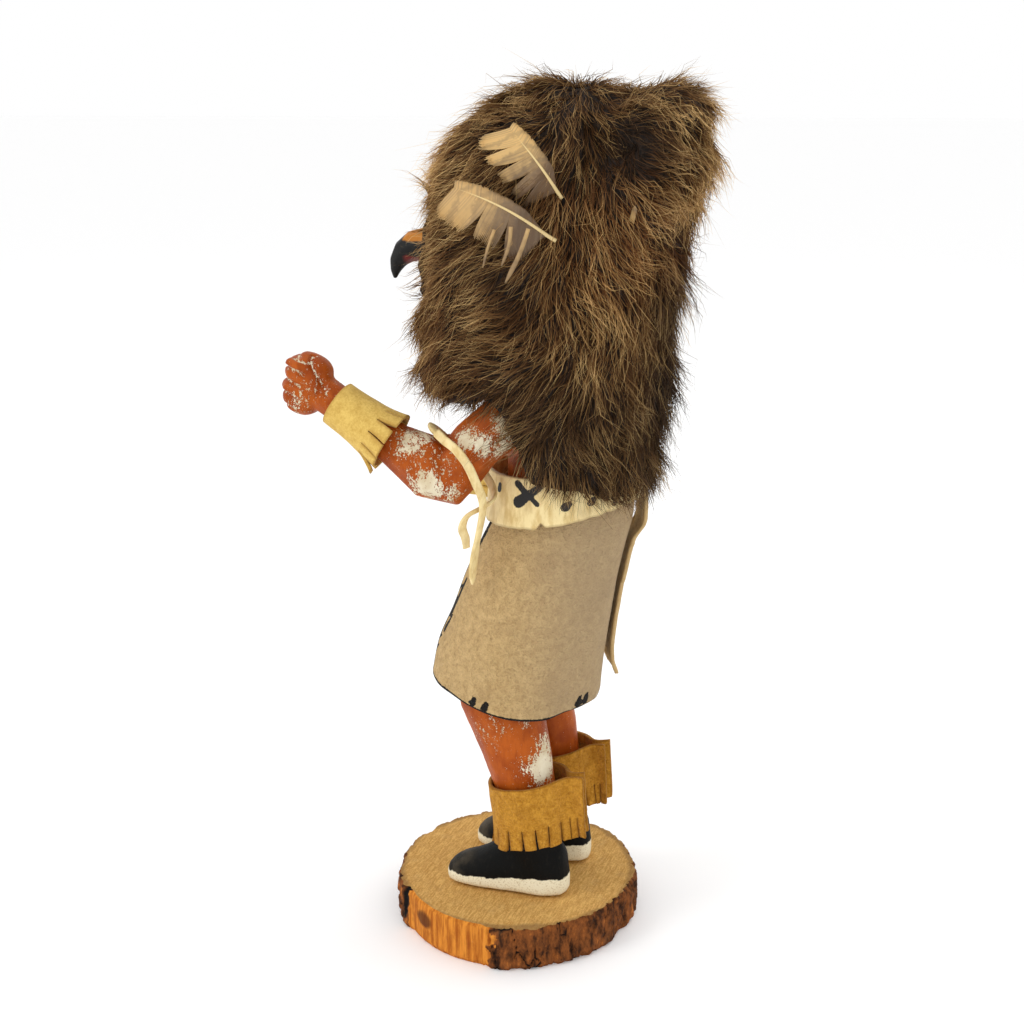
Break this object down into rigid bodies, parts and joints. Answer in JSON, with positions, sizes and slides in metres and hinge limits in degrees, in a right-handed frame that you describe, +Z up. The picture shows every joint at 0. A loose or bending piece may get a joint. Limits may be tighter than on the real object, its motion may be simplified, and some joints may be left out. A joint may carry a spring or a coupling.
{
  "type": "kachina doll",
  "caption": "Carved wooden dancer figure with a hooked beak, fur hood and cape, feathers and suede dress, standing on a slice of log.",
  "frame": {"origin": "middle of the underside of the log slice, on its wood", "axes": "+Z up; the figure faces -Y and its left side is +X"},
  "size_m": [0.0916, 0.1369, 0.3],
  "materials": {
    "log_wood": "sawn top, bark and bare wood round the edge",
    "painted_wood": "satin paint, worn through to a white ground coat",
    "beak_paint": "satin paint, scuffed",
    "pale_suede": "napped",
    "gold_suede": "napped",
    "cream_leather": "smooth",
    "fur": "long coarse hair on the hide",
    "feather": "satin"
  },
  "bodies": {
    "root": {"base": "log_wood", "figure": "painted_wood", "left_arm": "painted_wood", "right_arm": "painted_wood", "beak": "beak_paint", "kilt": "pale_suede", "waistband": "cream_leather", "back_sash": "pale_suede", "left_wrist_cuff": "gold_suede", "right_wrist_cuff": "gold_suede", "left_legging": "gold_suede", "right_legging": "gold_suede", "elbow_lace": "cream_leather", "fur_hood": "fur", "fur_cape": "fur", "feather_left_upper": "feather", "feather_right_upper": "feather", "feather_left_lower": "feather", "feather_right_lower": "feather"}
  },
  "joints": []
}
